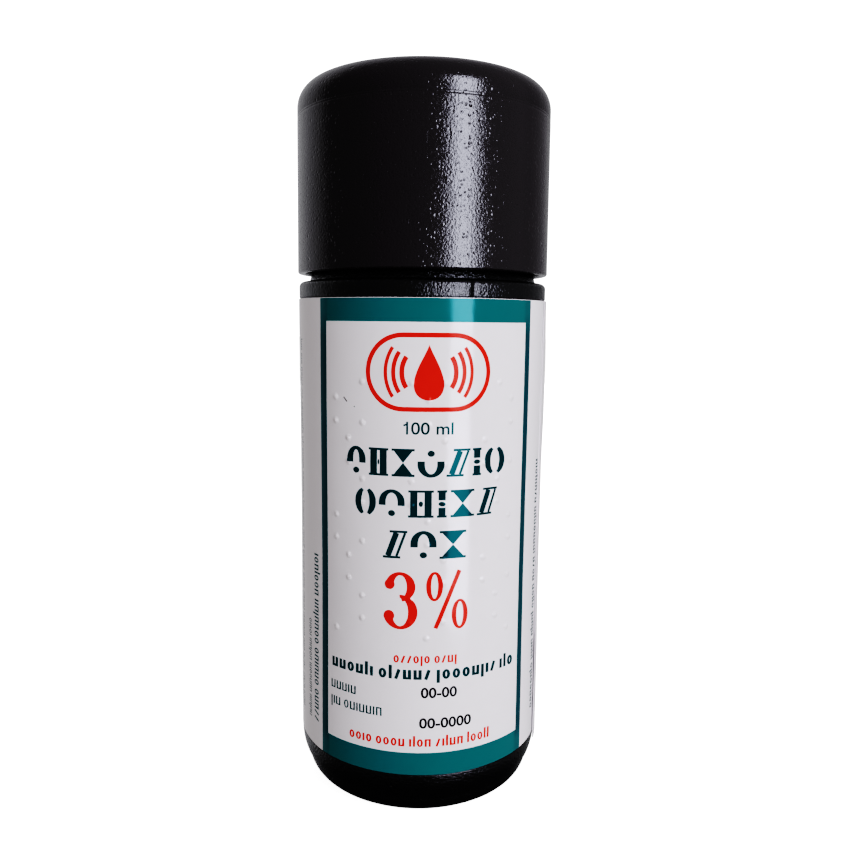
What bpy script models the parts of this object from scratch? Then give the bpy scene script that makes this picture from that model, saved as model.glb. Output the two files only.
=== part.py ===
"""Screw-cap solution bottle, 100 ml class.

The bottle stands on its base ring at z = 0 with its axis on +Z. The front of the label faces -Y.
Every piece is turned about +Z from a profile. Profiles are lists of (radius, height) in millimetres,
closed, and run down the outside of the piece and up its inside.
"""

import math

import bmesh
import bpy

MM = 0.001

# Bottle
BODY_R = 21.5
BODY_WALL = 1.1
BASE_CORNER_R = 8.8
SHOULDER_CORNER_R = 1.1
SHOULDER_Z = 89.2
STEP_RING_R = 19.75
STEP_RING_Z = 92.8
STEP_RING_CORNER_R = 0.8
PUSH_UP_HEIGHT = 2.0
PANEL_WALL = 0.95
RIM_CHAMFER = 0.4
BEAD_FLANK = 0.3
NECK_FOOT_FLARE = (0.9, 0.6)
STANDING_RING_WIDTH = 2.6

# Label, and the panel of the bottle that it lies in
LABEL_BOTTOM_Z = 9.4
LABEL_TOP_Z = 86.3
LABEL_OUTER_R = 21.6
LABEL_THICKNESS = 0.15
PANEL_GAP = 0.3
LABEL_INNER_END_DEG = 104.0
LABEL_OUTER_END_DEG = 72.0
LABEL_OVERLAP_RISE = 0.4
LABEL_RAMP_DEG = 12.0

# Neck finish: an 8 turns per inch thread of one and a half turns
NECK_ROOT_R = 11.0
NECK_BORE_R = 8.5
NECK_TOP_Z = 110.5
NECK_FOOT_Z = 95.4
THREAD_PITCH = 3.175
THREAD_TURNS = 1.5
THREAD_DEPTH = 1.0
THREAD_FIRST_Z = 103.0
THREAD_FOOT_HALF_WIDTH = 0.95
THREAD_CREST_HALF_WIDTH = 0.45
THREAD_FADE_DEG = 24.0
BEAD_R = 12.2
BEAD_Z = 98.4
BEAD_HEIGHT = 0.9

# Gap left between two pieces that rest on each other
REST_GAP = 0.3

# Chamfers on moulded edges, and the taller lead-in of parts that are pushed over others
EDGE_CHAMFER = 0.3
LEAD_IN = 0.4
FINE_CHAMFER = 0.2

# Dropper insert
FLANGE_R = 10.6
FLANGE_THICKNESS = 0.8
PLUG_R = 8.2
PLUG_DEPTH = 9.0
PLUG_WALL = 1.0
NOZZLE_FOOT_R = 4.2
NOZZLE_TIP_R = 1.9
NOZZLE_TIP_Z = 117.8
ORIFICE_R = 1.1

# Seal washer
WASHER_THICKNESS = 1.0
WASHER_OUTER_R = 12.2
WASHER_INNER_R = 5.2

# Tamper ring
TAMPER_BOTTOM_Z = 95.9
TAMPER_TOP_Z = 97.9
TAMPER_OUTER_R = 13.6
TAMPER_INNER_R = 12.0
TAMPER_LIP_R = 11.4
TAMPER_LIP_HEIGHT = 0.7
BRIDGE_STUBS = 8
BRIDGE_STUB_HEIGHT = 0.25

# Cap core
CORE_BOTTOM_Z = 98.5
CORE_OUTER_R = 13.8
CORE_INNER_R = 12.5
CORE_THREAD_CREST_R = 11.45
CORE_SEAT_Z = 113.2
CORE_SEAT_R = 6.8
CORE_PLATE = 1.4
CORE_COLLAR_Z = 117.4
CORE_COLLAR_INNER_R = 12.4
CORE_TOP_Z = 120.1
CHAMBER_TOP_R = 3.4
CHAMBER_TOP_Z = 118.6
PIN_R = 0.7
PIN_TIP_Z = 116.8
STOP_FLANGE_R = 14.9
STOP_FLANGE_Z = 104.4
STOP_FLANGE_HEIGHT = 1.0
SNAP_RIB_HEIGHT = 0.4
SNAP_RIB_Z = 115.5

# Cap shell: a cup that narrows a little upwards, so that it leaves its mould
CAP_BOTTOM_Z = 90.6
CAP_TOP_Z = 122.0
CAP_R = 21.7
CAP_DRAFT = 0.1
CAP_WALL = 1.3
CAP_TOP_THICKNESS = 1.5
CAP_EDGE_RADIAL = 4.0
CAP_EDGE_VERTICAL = 4.1
CAP_LIP_R = 0.35
SOCKET_INNER_R = 14.1
SOCKET_WALL = 1.2
SOCKET_BOTTOM_Z = 105.7
SNAP_GROOVE_DEPTH = 0.5

# Faces round each piece
BODY_STEPS = 40
NECK_STEPS = 40
SMALL_STEPS = 24

# Height between the rows of points that a thread is raised on
THREAD_ROW_SPACING = 0.5


def arc(centre, radii, start_deg, end_deg, steps):
    """Points of an elliptical arc about centre. radii is (radial, vertical)."""
    points = []
    for i in range(steps + 1):
        angle = math.radians(start_deg + (end_deg - start_deg) * i / steps)
        points.append((centre[0] + radii[0] * math.cos(angle), centre[1] + radii[1] * math.sin(angle)))
    return points


def round_corner(centre, radius, start_deg, end_deg, steps):
    return arc(centre, (radius, radius), start_deg, end_deg, steps)


def new_object(name, mesh, colour, roughness):
    """Puts a mesh in the scene under its name, with its own material."""
    material = bpy.data.materials.new(name)
    material.use_nodes = True
    shader = material.node_tree.nodes["Principled BSDF"]
    shader.inputs["Base Color"].default_value = (*colour, 1.0)
    shader.inputs["Roughness"].default_value = roughness
    shader.inputs["Metallic"].default_value = 0.0
    mesh.materials.append(material)
    mesh.shade_smooth()
    mesh.set_sharp_from_angle(angle=math.radians(35.0))
    piece = bpy.data.objects.new(name, mesh)
    bpy.context.scene.collection.objects.link(piece)
    return piece


def turned_mesh(name, profile, steps, radius_at=None):
    """Turns a closed profile about +Z.

    A point on the axis becomes one vertex. radius_at(radius, height, angle) may change a radius,
    which is how threads are raised on a wall.
    """
    mesh = bpy.data.meshes.new(name)
    build = bmesh.new()
    rings = []
    for radius, height in profile:
        if radius < 1e-6:
            rings.append([build.verts.new((0.0, 0.0, height * MM))])
            continue
        ring = []
        for i in range(steps):
            angle = 2.0 * math.pi * i / steps
            r = radius if radius_at is None else radius_at(radius, height, angle)
            ring.append(build.verts.new((r * MM * math.cos(angle), r * MM * math.sin(angle), height * MM)))
        rings.append(ring)
    for upper, lower in zip(rings, rings[1:] + rings[:1]):
        join_rings(build, upper, lower, steps)
    bmesh.ops.recalc_face_normals(build, faces=build.faces)
    build.to_mesh(mesh)
    build.free()
    return mesh


def join_rings(build, upper, lower, steps):
    """Faces between two neighbouring rings, one of which may be a single point on the axis."""
    if len(upper) == 1 and len(lower) == 1:
        return
    for i in range(steps):
        j = (i + 1) % steps
        if len(upper) == 1:
            build.faces.new((upper[0], lower[i], lower[j]))
        elif len(lower) == 1:
            build.faces.new((upper[i], lower[0], upper[j]))
        else:
            build.faces.new((upper[i], lower[i], lower[j], upper[j]))


def thread_height(angle, height, first_z, turns):
    """How far up its flank, 0 to 1, a right-hand thread stands at this place on the wall."""
    best = 0.0
    turn = angle / (2.0 * math.pi)
    for k in range(-1, math.ceil(turns) + 1):
        along = turn + k
        if not 0.0 <= along <= turns:
            continue
        off = abs(height - (first_z + THREAD_PITCH * along))
        flank = (THREAD_FOOT_HALF_WIDTH - off) / (THREAD_FOOT_HALF_WIDTH - THREAD_CREST_HALF_WIDTH)
        fade = min(along, turns - along) * 360.0 / THREAD_FADE_DEG
        best = max(best, min(1.0, max(0.0, flank)) * min(1.0, fade))
    return best


def levels(bottom, top, spacing):
    """Evenly spaced heights from bottom to top, both included."""
    count = math.ceil((top - bottom) / spacing)
    return [bottom + (top - bottom) * i / count for i in range(count + 1)]


def thread_zone(first_z, turns):
    """Lowest and highest height that a thread reaches."""
    return first_z - THREAD_FOOT_HALF_WIDTH, first_z + THREAD_PITCH * turns + THREAD_FOOT_HALF_WIDTH


def make_bottle_body():
    panel_r = LABEL_OUTER_R - LABEL_THICKNESS - PANEL_GAP
    inner_r = panel_r - PANEL_WALL
    foot_r = BODY_R - BASE_CORNER_R
    ring_inner_r = foot_r - STANDING_RING_WIDTH
    zone_low, zone_high = thread_zone(THREAD_FIRST_Z, THREAD_TURNS)
    shoulder_foot = (STEP_RING_R - STEP_RING_CORNER_R - 0.6, STEP_RING_Z)

    outer = [(NECK_BORE_R, NECK_TOP_Z), (NECK_ROOT_R - RIM_CHAMFER, NECK_TOP_Z)]
    outer.append((NECK_ROOT_R, NECK_TOP_Z - RIM_CHAMFER))
    outer += [(NECK_ROOT_R, z) for z in reversed(levels(zone_low, zone_high, THREAD_ROW_SPACING))]
    outer += [
        (NECK_ROOT_R, BEAD_Z + BEAD_HEIGHT + 0.2),
        (BEAD_R, BEAD_Z + BEAD_FLANK),
        (BEAD_R, BEAD_Z),
        (NECK_ROOT_R, BEAD_Z),
        (NECK_ROOT_R, NECK_FOOT_Z),
        (NECK_ROOT_R + NECK_FOOT_FLARE[0], NECK_FOOT_Z - NECK_FOOT_FLARE[1]),
        shoulder_foot,
    ]
    outer += round_corner(
        (STEP_RING_R - STEP_RING_CORNER_R, STEP_RING_Z - STEP_RING_CORNER_R), STEP_RING_CORNER_R, 90, 0, 3
    )
    outer += [(STEP_RING_R, SHOULDER_Z)]
    outer += round_corner(
        (BODY_R - SHOULDER_CORNER_R, SHOULDER_Z - SHOULDER_CORNER_R), SHOULDER_CORNER_R, 90, 0, 4
    )
    outer += [
        (BODY_R, LABEL_TOP_Z + PANEL_GAP),
        (panel_r, LABEL_TOP_Z + PANEL_GAP),
        (panel_r, LABEL_BOTTOM_Z - PANEL_GAP),
        (BODY_R, LABEL_BOTTOM_Z - PANEL_GAP),
    ]
    outer += round_corner((foot_r, BASE_CORNER_R), BASE_CORNER_R, 0, -90, 9)
    outer += [
        (ring_inner_r, 0.0),
        (ring_inner_r - 1.6, PUSH_UP_HEIGHT * 0.6),
        (ring_inner_r * 0.45, PUSH_UP_HEIGHT * 0.92),
        (0.0, PUSH_UP_HEIGHT),
    ]

    floor_z = PUSH_UP_HEIGHT + BODY_WALL
    corner_r = BASE_CORNER_R - BODY_WALL
    inner = [(0.0, floor_z), (ring_inner_r * 0.45, floor_z - 0.2), (ring_inner_r - 1.0, BODY_WALL + 0.6)]
    inner += round_corner((inner_r - corner_r, BODY_WALL + corner_r), corner_r, -90, 0, 6)
    inner += [
        (inner_r, SHOULDER_Z - BODY_WALL - 1.6),
        (STEP_RING_R - BODY_WALL - 0.3, SHOULDER_Z - BODY_WALL + 0.4),
        (STEP_RING_R - BODY_WALL - 0.3, STEP_RING_Z - BODY_WALL - 0.9),
        (shoulder_foot[0] - 0.6, STEP_RING_Z - BODY_WALL - 0.2),
        (NECK_BORE_R + 0.7, NECK_FOOT_Z - BODY_WALL - 0.8),
        (NECK_BORE_R, NECK_FOOT_Z - BODY_WALL + 0.4),
    ]

    def radius_at(radius, height, angle):
        if abs(radius - NECK_ROOT_R) > 1e-6 or not zone_low <= height <= zone_high:
            return radius
        return radius + THREAD_DEPTH * thread_height(angle, height, THREAD_FIRST_Z, THREAD_TURNS)

    mesh = turned_mesh("bottle_body", outer + inner, BODY_STEPS, radius_at)
    return new_object("bottle_body", mesh, (0.012, 0.012, 0.014), 0.28)


def make_wrap_label():
    """One sheet, once round the bottle, whose outer end lies over its inner end."""
    inner_end = math.radians(LABEL_INNER_END_DEG)
    overlap = math.radians(LABEL_INNER_END_DEG - LABEL_OUTER_END_DEG)
    sweep = 2.0 * math.pi + overlap
    steps = math.ceil(BODY_STEPS * sweep / (2.0 * math.pi))
    ramp = math.radians(LABEL_RAMP_DEG)
    build = bmesh.new()
    sections = []
    for i in range(steps + 1):
        along = sweep * i / steps
        lift = min(1.0, max(0.0, (along - (2.0 * math.pi - ramp)) / ramp)) * LABEL_OVERLAP_RISE
        angle = inner_end - along - math.pi / 2.0
        section = []
        for radius, height in (
            (LABEL_OUTER_R, LABEL_TOP_Z),
            (LABEL_OUTER_R, LABEL_BOTTOM_Z),
            (LABEL_OUTER_R - LABEL_THICKNESS, LABEL_BOTTOM_Z),
            (LABEL_OUTER_R - LABEL_THICKNESS, LABEL_TOP_Z),
        ):
            r = (radius + lift) * MM
            section.append(build.verts.new((r * math.cos(angle), r * math.sin(angle), height * MM)))
        sections.append(section)
    for first, second in zip(sections, sections[1:]):
        for i in range(4):
            j = (i + 1) % 4
            build.faces.new((first[i], first[j], second[j], second[i]))
    build.faces.new(sections[0])
    build.faces.new(sections[-1])
    bmesh.ops.recalc_face_normals(build, faces=build.faces)
    mesh = bpy.data.meshes.new("wrap_label")
    build.to_mesh(mesh)
    build.free()
    return new_object("wrap_label", mesh, (0.62, 0.62, 0.64), 0.22)


def make_dropper_insert():
    flange_z = NECK_TOP_Z + REST_GAP
    top_z = flange_z + FLANGE_THICKNESS
    profile = [
        (ORIFICE_R, NOZZLE_TIP_Z),
        (NOZZLE_TIP_R - EDGE_CHAMFER, NOZZLE_TIP_Z),
        (NOZZLE_TIP_R, NOZZLE_TIP_Z - EDGE_CHAMFER),
        (NOZZLE_FOOT_R, top_z + LEAD_IN),
        (NOZZLE_FOOT_R + LEAD_IN, top_z),
        (FLANGE_R - FINE_CHAMFER, top_z),
        (FLANGE_R, top_z - FINE_CHAMFER),
        (FLANGE_R, flange_z),
        (PLUG_R, flange_z),
        (PLUG_R, flange_z - PLUG_DEPTH + 1.0),
        (PLUG_R - 0.5, flange_z - PLUG_DEPTH),
        (PLUG_R - PLUG_WALL, flange_z - PLUG_DEPTH),
        (PLUG_R - PLUG_WALL, flange_z - LEAD_IN),
        (PLUG_R - PLUG_WALL - LEAD_IN, flange_z),
        (NOZZLE_FOOT_R - 1.0, flange_z),
        (ORIFICE_R, NOZZLE_TIP_Z - 2.2),
    ]
    mesh = turned_mesh("dropper_insert", profile, SMALL_STEPS)
    return new_object("dropper_insert", mesh, (0.82, 0.83, 0.82), 0.4)


def make_seal_washer():
    bottom = NECK_TOP_Z + REST_GAP + FLANGE_THICKNESS + REST_GAP
    top = bottom + WASHER_THICKNESS
    profile = [(WASHER_INNER_R, top), (WASHER_OUTER_R, top), (WASHER_OUTER_R, bottom), (WASHER_INNER_R, bottom)]
    mesh = turned_mesh("seal_washer", profile, SMALL_STEPS)
    return new_object("seal_washer", mesh, (0.78, 0.78, 0.76), 0.7)


def make_tamper_ring():
    """A ring under the neck's bead, with the stubs of its broken bridges on its top edge."""
    profile = [
        (TAMPER_LIP_R, TAMPER_TOP_Z),
        (TAMPER_INNER_R, TAMPER_TOP_Z),
        (TAMPER_OUTER_R, TAMPER_TOP_Z),
        (TAMPER_OUTER_R, TAMPER_BOTTOM_Z),
        (TAMPER_INNER_R, TAMPER_BOTTOM_Z),
        (TAMPER_INNER_R, TAMPER_TOP_Z - TAMPER_LIP_HEIGHT - 0.4),
        (TAMPER_LIP_R, TAMPER_TOP_Z - TAMPER_LIP_HEIGHT),
    ]
    mesh = turned_mesh("tamper_ring", profile, NECK_STEPS)
    every = NECK_STEPS // BRIDGE_STUBS
    stub_r = TAMPER_OUTER_R * MM
    for vertex in mesh.vertices:
        on_edge = abs(vertex.co.xy.length - stub_r) < 1e-6 and vertex.co.z > (TAMPER_TOP_Z - 0.1) * MM
        step = round(math.atan2(vertex.co.y, vertex.co.x) / (2.0 * math.pi) * NECK_STEPS)
        if on_edge and step % every == 0:
            vertex.co.z += BRIDGE_STUB_HEIGHT * MM
    return new_object("tamper_ring", mesh, (0.014, 0.014, 0.016), 0.3)


def make_cap_core():
    """The threaded closure. Its thread lies half a pitch under the neck's, flank against flank."""
    first_z = THREAD_FIRST_Z - THREAD_PITCH / 2.0
    zone_low, zone_high = thread_zone(first_z, THREAD_TURNS)
    plate_z = CORE_SEAT_Z + CORE_PLATE
    outer = [
        (0.0, CORE_TOP_Z),
        (CHAMBER_TOP_R + CORE_PLATE, CORE_TOP_Z),
        (CORE_SEAT_R + CORE_PLATE, plate_z),
        (CORE_COLLAR_INNER_R, plate_z),
        (CORE_COLLAR_INNER_R, CORE_COLLAR_Z),
        (CORE_OUTER_R - LEAD_IN, CORE_COLLAR_Z),
        (CORE_OUTER_R, CORE_COLLAR_Z - LEAD_IN),
        (CORE_OUTER_R, SNAP_RIB_Z + 1.2),
        (CORE_OUTER_R + SNAP_RIB_HEIGHT, SNAP_RIB_Z + 0.6),
        (CORE_OUTER_R, SNAP_RIB_Z),
        (CORE_OUTER_R, STOP_FLANGE_Z + STOP_FLANGE_HEIGHT),
        (STOP_FLANGE_R, STOP_FLANGE_Z + STOP_FLANGE_HEIGHT),
        (STOP_FLANGE_R, STOP_FLANGE_Z + EDGE_CHAMFER),
        (CORE_OUTER_R, STOP_FLANGE_Z - 0.6),
        (CORE_OUTER_R, CORE_BOTTOM_Z),
        (CORE_INNER_R + EDGE_CHAMFER, CORE_BOTTOM_Z),
        (CORE_INNER_R, CORE_BOTTOM_Z + EDGE_CHAMFER),
    ]
    inner = [(CORE_INNER_R, z) for z in levels(zone_low, zone_high, THREAD_ROW_SPACING)]
    inner += [
        (CORE_INNER_R, CORE_SEAT_Z),
        (CORE_SEAT_R, CORE_SEAT_Z),
        (CHAMBER_TOP_R, CHAMBER_TOP_Z),
        (PIN_R + EDGE_CHAMFER, CHAMBER_TOP_Z),
        (PIN_R, CHAMBER_TOP_Z - LEAD_IN),
        (PIN_R, PIN_TIP_Z + EDGE_CHAMFER),
        (0.0, PIN_TIP_Z),
    ]

    def radius_at(radius, height, angle):
        if abs(radius - CORE_INNER_R) > 1e-6 or not zone_low <= height <= zone_high:
            return radius
        stands = thread_height(angle, height, first_z, THREAD_TURNS)
        return radius - (CORE_INNER_R - CORE_THREAD_CREST_R) * stands

    mesh = turned_mesh("cap_core", outer + inner, NECK_STEPS, radius_at)
    return new_object("cap_core", mesh, (0.02, 0.02, 0.022), 0.35)


def make_cap_shell():
    flat_r = CAP_R - CAP_DRAFT - CAP_EDGE_RADIAL
    inner_r = CAP_R - CAP_DRAFT - CAP_WALL
    ceiling_z = CAP_TOP_Z - CAP_TOP_THICKNESS
    socket_outer_r = SOCKET_INNER_R + SOCKET_WALL
    outer = [(0.0, CAP_TOP_Z)]
    outer += arc((flat_r, CAP_TOP_Z - CAP_EDGE_VERTICAL), (CAP_EDGE_RADIAL, CAP_EDGE_VERTICAL), 90, 0, 9)
    outer += round_corner((CAP_R - CAP_LIP_R, CAP_BOTTOM_Z + CAP_LIP_R), CAP_LIP_R, 0, -90, 3)
    inner = [(inner_r + FINE_CHAMFER, CAP_BOTTOM_Z), (inner_r, CAP_BOTTOM_Z + EDGE_CHAMFER)]
    inner += arc((inner_r - 3.2, ceiling_z - 2.6), (3.2, 2.6), 0, 90, 3)
    inner += [
        (socket_outer_r, ceiling_z),
        (socket_outer_r, SOCKET_BOTTOM_Z),
        (SOCKET_INNER_R + EDGE_CHAMFER, SOCKET_BOTTOM_Z),
        (SOCKET_INNER_R, SOCKET_BOTTOM_Z + EDGE_CHAMFER),
        (SOCKET_INNER_R, SNAP_RIB_Z - 0.4),
        (SOCKET_INNER_R + SNAP_GROOVE_DEPTH, SNAP_RIB_Z + 0.1),
        (SOCKET_INNER_R + SNAP_GROOVE_DEPTH, SNAP_RIB_Z + 0.9),
        (SOCKET_INNER_R, SNAP_RIB_Z + 1.6),
        (SOCKET_INNER_R, ceiling_z),
        (0.0, ceiling_z),
    ]
    mesh = turned_mesh("cap_shell", outer + inner, BODY_STEPS)
    return new_object("cap_shell", mesh, (0.01, 0.01, 0.012), 0.18)


def hang_on_empty(name, pieces):
    """Parents moving pieces to an empty on the bottle's axis, which is the axis they turn about."""
    empty = bpy.data.objects.new(name, None)
    bpy.context.scene.collection.objects.link(empty)
    for piece in pieces:
        piece.parent = empty


def main():
    for old in list(bpy.data.objects):
        bpy.data.objects.remove(old)
    make_bottle_body()
    make_wrap_label()
    make_dropper_insert()
    washer = make_seal_washer()
    ring = make_tamper_ring()
    core = make_cap_core()
    shell = make_cap_shell()
    hang_on_empty("tamper_axis", [ring])
    hang_on_empty("cap_axis", [washer, core, shell])


main()
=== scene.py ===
"""Looks of a black 100 ml solution bottle with a wrap-around label and a tall screw cap.

Sizes are in millimetres unless a name says otherwise, and heights come from the CAD frame where it
holds them. Every plastic piece is turned about +Z from a closed outline of (radius, height) corners that
runs down the outside and up the inside. The label is one flat sheet with its print cut into it, which is
then bent round the bottle. The front of the label faces -Y, and angles are measured from there.
"""

import math
import random

import bpy
from mathutils import Matrix, Vector
from mathutils.geometry import delaunay_2d_cdt


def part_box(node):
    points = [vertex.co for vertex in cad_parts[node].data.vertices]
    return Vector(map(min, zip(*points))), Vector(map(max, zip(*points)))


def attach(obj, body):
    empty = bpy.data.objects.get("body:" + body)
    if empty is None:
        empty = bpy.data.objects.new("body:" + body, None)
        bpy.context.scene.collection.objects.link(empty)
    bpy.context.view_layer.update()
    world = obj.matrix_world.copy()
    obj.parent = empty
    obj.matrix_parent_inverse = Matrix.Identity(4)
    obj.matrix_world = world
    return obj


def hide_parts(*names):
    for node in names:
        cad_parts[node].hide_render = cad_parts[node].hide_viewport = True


MM = 0.001
FINE_STEPS = 180
PLAIN_STEPS = 96
CORNER_STEP_DEG = 11.0
SUPPORT = 0.06
MOST_REACH = 0.48
SHARP_DEG = 32.0
SEAM_OFFSETS_DEG = (-0.9, -0.6, -0.3, 0.0, 0.3, 0.6, 0.9)

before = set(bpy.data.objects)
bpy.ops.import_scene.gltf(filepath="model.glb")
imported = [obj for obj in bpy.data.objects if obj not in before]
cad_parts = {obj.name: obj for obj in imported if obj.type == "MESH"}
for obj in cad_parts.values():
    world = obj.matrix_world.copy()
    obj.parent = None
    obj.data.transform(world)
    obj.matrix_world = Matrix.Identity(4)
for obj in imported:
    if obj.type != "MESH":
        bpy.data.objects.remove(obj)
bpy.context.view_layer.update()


def low_z(node):
    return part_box(node)[0].z / MM


def high_z(node):
    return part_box(node)[1].z / MM


def outer_r(node):
    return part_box(node)[1].x / MM


# Heights and radii that the CAD frame settles
CAP_LOW_Z = low_z("cap_shell")
CAP_TOP_Z = high_z("cap_shell")
CAP_R = outer_r("cap_shell")
BODY_R = outer_r("bottle_body")
NECK_TOP_Z = high_z("bottle_body")
LABEL_LOW_Z = low_z("wrap_label")
LABEL_TOP_Z = high_z("wrap_label")
NOZZLE_TIP_Z = high_z("dropper_insert")
FLANGE_R = outer_r("dropper_insert")
WASHER_Z = (low_z("seal_washer"), high_z("seal_washer"))
WASHER_R = outer_r("seal_washer")
RING_LOW_Z = low_z("tamper_ring")
RING_R = outer_r("tamper_ring")
CORE_LOW_Z = low_z("cap_core")
CORE_TOP_Z = high_z("cap_core")

# Bottle
BASE_CORNER_R = 8.8
SHOULDER_Z = 89.2
SHOULDER_CORNER_R = 1.1
STEP_RING_R = 19.75
STEP_RING_Z = 92.8
STEP_RING_LEAN = 1.0
WALL = 1.1
PANEL_DEPTH = 0.12
PANEL_MARGIN = 0.25
WAIST_Z = (12.0, 84.0)
NECK_R = 11.0
NECK_BORE_R = 8.5
NECK_FOOT_Z = 95.4
BEAD_R = 12.2
BEAD_Z = 98.4
SEAM_DEG = 20.8
# The parting line is a shallow groove with a fine ridge in it: depth or height, and half its width
SEAM_RIDGE = (0.1, 0.12)
SEAM_GROOVE = (0.13, 0.38)
BASE_SEAM = (0.28, 0.55)
BASE_SEAM_R = 9.0
PUSH_UP_Z = 2.0
PUSH_UP_TOP_R = 5.2
FOOT_RING_WIDTH = 2.6

# Thread, 8 turns per inch
PITCH = 3.175
TURNS = 1.5
THREAD_FIRST_Z = 103.0
THREAD_DEPTH = 1.0
THREAD_FOOT = 0.95
THREAD_CREST = 0.45
THREAD_FADE_DEG = 24.0
THREAD_ROWS = 0.18

# Plug
PLUG_R = 8.2
PLUG_BARB_R = 8.38
PLUG_FLANGE = 0.8

# Cap and core
CAP_DRAFT = 0.1
CAP_WALL = 1.3
CAP_EDGE = (4.0, 4.1)
CORE_INNER_R = 12.5
CORE_CREST_R = 11.45
CORE_R = 13.8
CORE_LEDGE_Z = 105.4
CORE_LEDGE_R = 14.9
PIN_Z = 118.6
SOCKET_R = 14.1
SOCKET_OUTER_R = 15.3
SNAP_RIB_Z = 115.5
MOULD_LINES_Z = (116.45, 116.1)
MOULD_LINE_DEPTH = 0.035

# Label sheet
SHEET_R = 21.6
SHEET_THICKNESS = 0.15
PANEL_R = SHEET_R - SHEET_THICKNESS - 0.05
INK_THICKNESS = 0.012
INNER_END_DEG = 104.0
OUTER_END_DEG = -288.0
# The free end lies on the label's start, and past TAIL_DEG it bulges, lifts at its foot and dips
OVERLAP_DEG = (246.0, 257.0)
TAIL_DEG = 258.0
BULGE_RISE_Z = (57.0, 68.0)
BULGE_FALL_Z = (74.0, 86.0)
LIFT_Z = (24.0, 34.0)
END_DROP = 1.3
GRID_X = 0.95
GRID_Z = 1.5
EDGE_STEP = 0.8
PAPER, TEAL, DARK, RED, BLACK = range(5)


# ---- meshes of turned pieces


def rounded(*corners):
    """A closed outline from (radius, height) or (radius, height, fillet) corners.

    A filleted corner becomes an arc, with a support point just before and after it, so that smooth
    shading doesn't spread from the arc over the flat beside it.
    """
    points = []
    for i, corner in enumerate(corners):
        here = Vector(corner[:2])
        if len(corner) == 2:
            points.append(tuple(here))
            continue
        back = Vector(corners[i - 1][:2]) - here
        ahead = Vector(corners[(i + 1) % len(corners)][:2]) - here
        half = back.angle(ahead) / 2.0
        reach = min(corner[2] / math.tan(half), MOST_REACH * back.length, MOST_REACH * ahead.length)
        radius = reach * math.tan(half)
        back.normalize()
        ahead.normalize()
        centre = here + (back + ahead).normalized() * (radius / math.sin(half))
        start = here + back * reach - centre
        turn = math.pi - 2.0 * half
        side = 1.0 if back.x * ahead.y - back.y * ahead.x < 0.0 else -1.0
        steps = max(2, math.ceil(math.degrees(turn) / CORNER_STEP_DEG))
        points.append(tuple(here + back * (reach + SUPPORT)))
        for k in range(steps + 1):
            points.append(tuple(centre + Matrix.Rotation(side * turn * k / steps, 2) @ start))
        points.append(tuple(here + ahead * (reach + SUPPORT)))
    return points


def ellipse(centre, radii, start_deg, end_deg, steps):
    """Points along an elliptical arc, both ends included."""
    angles = [math.radians(start_deg + (end_deg - start_deg) * i / steps) for i in range(steps + 1)]
    return [(centre[0] + radii[0] * math.cos(a), centre[1] + radii[1] * math.sin(a)) for a in angles]


def levels(bottom, top, spacing):
    count = math.ceil((top - bottom) / spacing)
    return [bottom + (top - bottom) * i / count for i in range(count + 1)]


def ring_angles(steps, seams=()):
    """Angles round a piece, in degrees from the front, closer together at each seam."""
    angles = {round(360.0 * i / steps, 4) for i in range(steps)}
    for seam in seams:
        angles |= {round((seam + offset) % 360.0, 4) for offset in SEAM_OFFSETS_DEG}
    return sorted(angles)


def at(radius, degrees, height):
    """A point in metres from a radius, an angle from the front and a height."""
    angle = math.radians(degrees)
    return (radius * MM * math.sin(angle), -radius * MM * math.cos(angle), height * MM)


def add_object(name, data):
    made = bpy.data.objects.new(name, data)
    bpy.context.scene.collection.objects.link(made)
    return made


def turned(name, outline, angles, shape=None):
    """Turns a closed outline about +Z. shape(radius, height, degrees) may move each point."""
    vertices, rings = [], []
    for radius, height in outline:
        if radius < 1e-6:
            rings.append([len(vertices)])
            vertices.append((0.0, 0.0, height * MM))
            continue
        ring = []
        for degrees in angles:
            r, z = (radius, height) if shape is None else shape(radius, height, degrees)
            ring.append(len(vertices))
            vertices.append(at(r, degrees, z))
        rings.append(ring)
    faces = []
    for upper, lower in zip(rings, rings[1:] + rings[:1]):
        for i in range(len(angles)):
            j = (i + 1) % len(angles)
            places = ((upper, i), (lower, i), (lower, j), (upper, j))
            face = tuple(dict.fromkeys(ring[k % len(ring)] for ring, k in places))
            if len(face) > 2:
                faces.append(face)
    mesh = bpy.data.meshes.new(name)
    mesh.from_pydata(vertices, [], faces)
    mesh.shade_smooth()
    mesh.set_sharp_from_angle(angle=math.radians(SHARP_DEG))
    return add_object(name, mesh)


def finish_piece(piece, material, body, slot, *nodes):
    """Gives a piece its material and its body, and hides the CAD nodes that it stands for. The slot
    argument is not used.
    """
    piece.data.materials.append(material)
    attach(piece, body)
    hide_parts(*nodes)


def hump(offset, height, half_width):
    """A smooth hump with its top at offset 0."""
    share = min(1.0, abs(offset) / half_width)
    return height * (1.0 - share * share) ** 2


def smooth(value, low, high):
    share = min(1.0, max(0.0, (value - low) / (high - low)))
    return share * share * (3.0 - 2.0 * share)


def angle_between(a, b):
    return (a - b + 180.0) % 360.0 - 180.0


def thread_height(degrees, height, first_z):
    """How far up its flank, 0 to 1, the right-hand thread stands at this place on a wall."""
    best = 0.0
    turn = ((degrees - 90.0) % 360.0) / 360.0
    for k in range(math.ceil(TURNS) + 1):
        along = turn + k
        off = abs(height - (first_z + PITCH * along))
        flank = smooth(THREAD_FOOT - off, 0.0, THREAD_FOOT - THREAD_CREST)
        fade = smooth(min(along, TURNS - along) * 360.0, 0.0, THREAD_FADE_DEG)
        best = max(best, flank * fade)
    return best


def thread_rows(first_z):
    return levels(first_z - THREAD_FOOT, first_z + PITCH * TURNS + THREAD_FOOT, THREAD_ROWS)


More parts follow.
